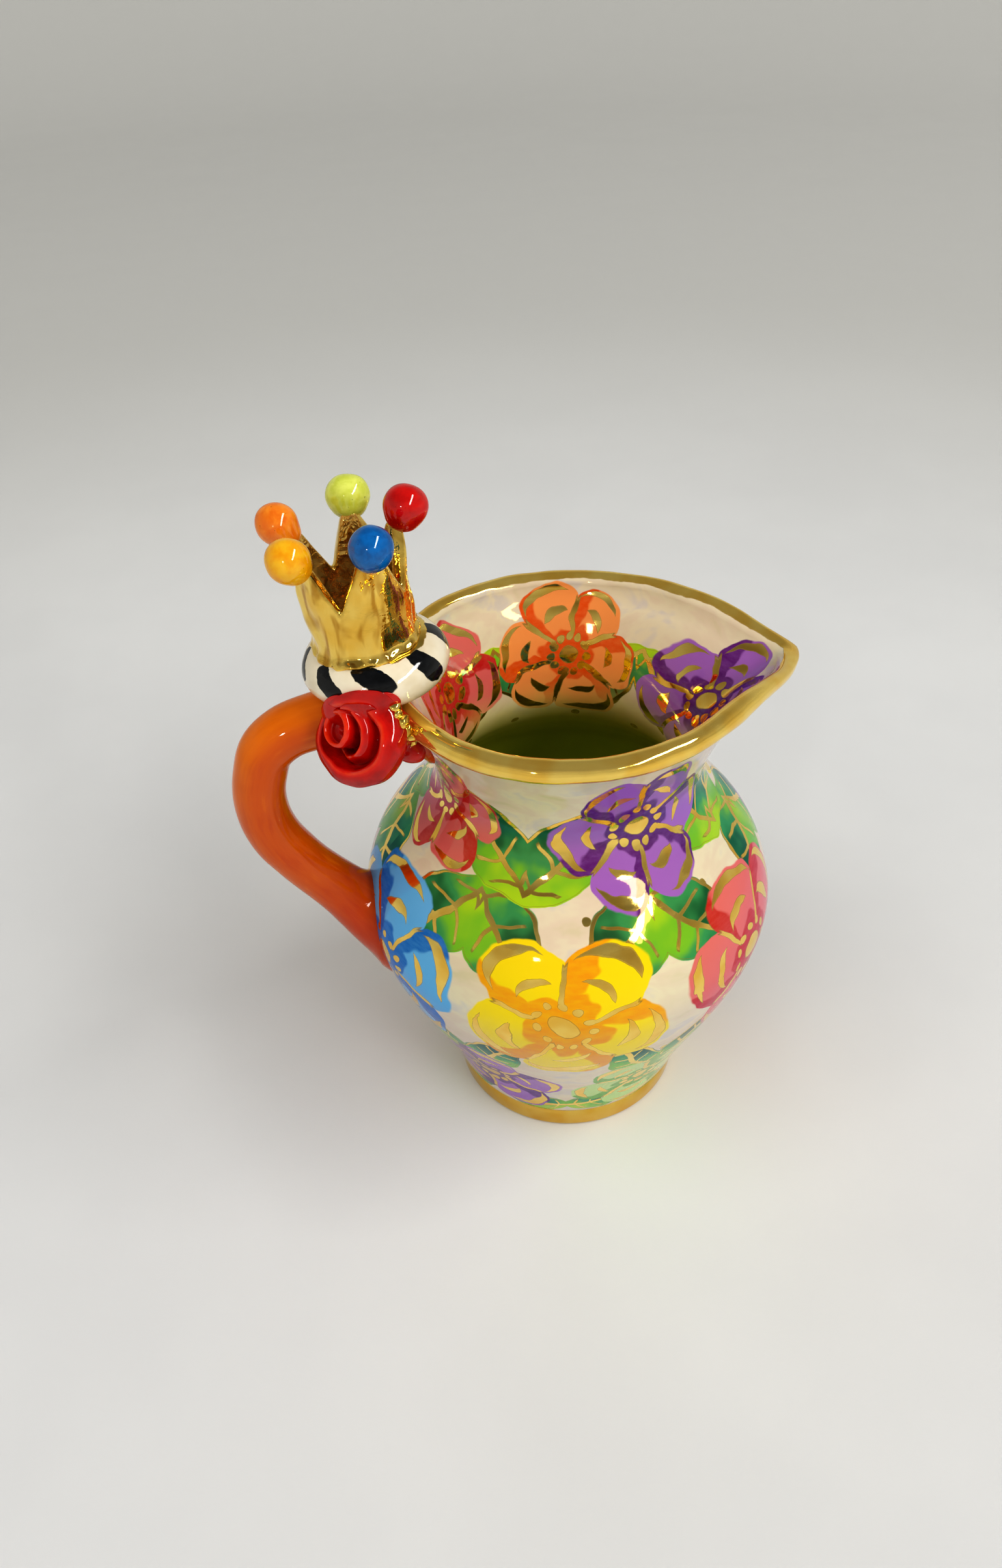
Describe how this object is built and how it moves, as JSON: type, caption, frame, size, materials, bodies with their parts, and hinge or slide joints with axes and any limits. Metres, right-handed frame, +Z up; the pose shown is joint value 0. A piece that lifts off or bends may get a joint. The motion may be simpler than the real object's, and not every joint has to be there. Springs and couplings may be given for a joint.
{
  "type": "creamer jug",
  "caption": "Round-bellied glazed ceramic creamer with a pulled pouring lip, a loop handle, and a gold crown with coloured balls and a rolled rose on the handle's top.",
  "frame": {"origin": "centre of the foot's flat underside, on the surface that the jug stands on", "axes": "+Z up, +X towards the pouring lip, -X towards the handle; the rose is on the -Y side of the handle's top"},
  "size_m": [0.1106, 0.0856, 0.1461],
  "materials": {
    "pearl_glaze": "gloss, pearl lustre with painted flowers",
    "orange_glaze": "gloss",
    "white_glaze": "gloss, black dashes",
    "gold_lustre": "mirror gold lustre",
    "red_ball_glaze": "gloss",
    "lime_ball_glaze": "gloss",
    "orange_ball_glaze": "gloss",
    "yellow_ball_glaze": "gloss",
    "blue_ball_glaze": "gloss",
    "rose_glaze": "gloss"
  },
  "bodies": {
    "root": {"jug_body": "pearl_glaze", "handle": "orange_glaze", "crown_cushion": "white_glaze", "crown": "gold_lustre", "ball_red": "red_ball_glaze", "ball_lime": "lime_ball_glaze", "ball_orange": "orange_ball_glaze", "ball_yellow": "yellow_ball_glaze", "ball_blue": "blue_ball_glaze", "rose_outer_petal": "rose_glaze", "rose_inner_petal": "rose_glaze", "rose_bud": "rose_glaze", "rose_bed": "rose_glaze"}
  },
  "joints": []
}
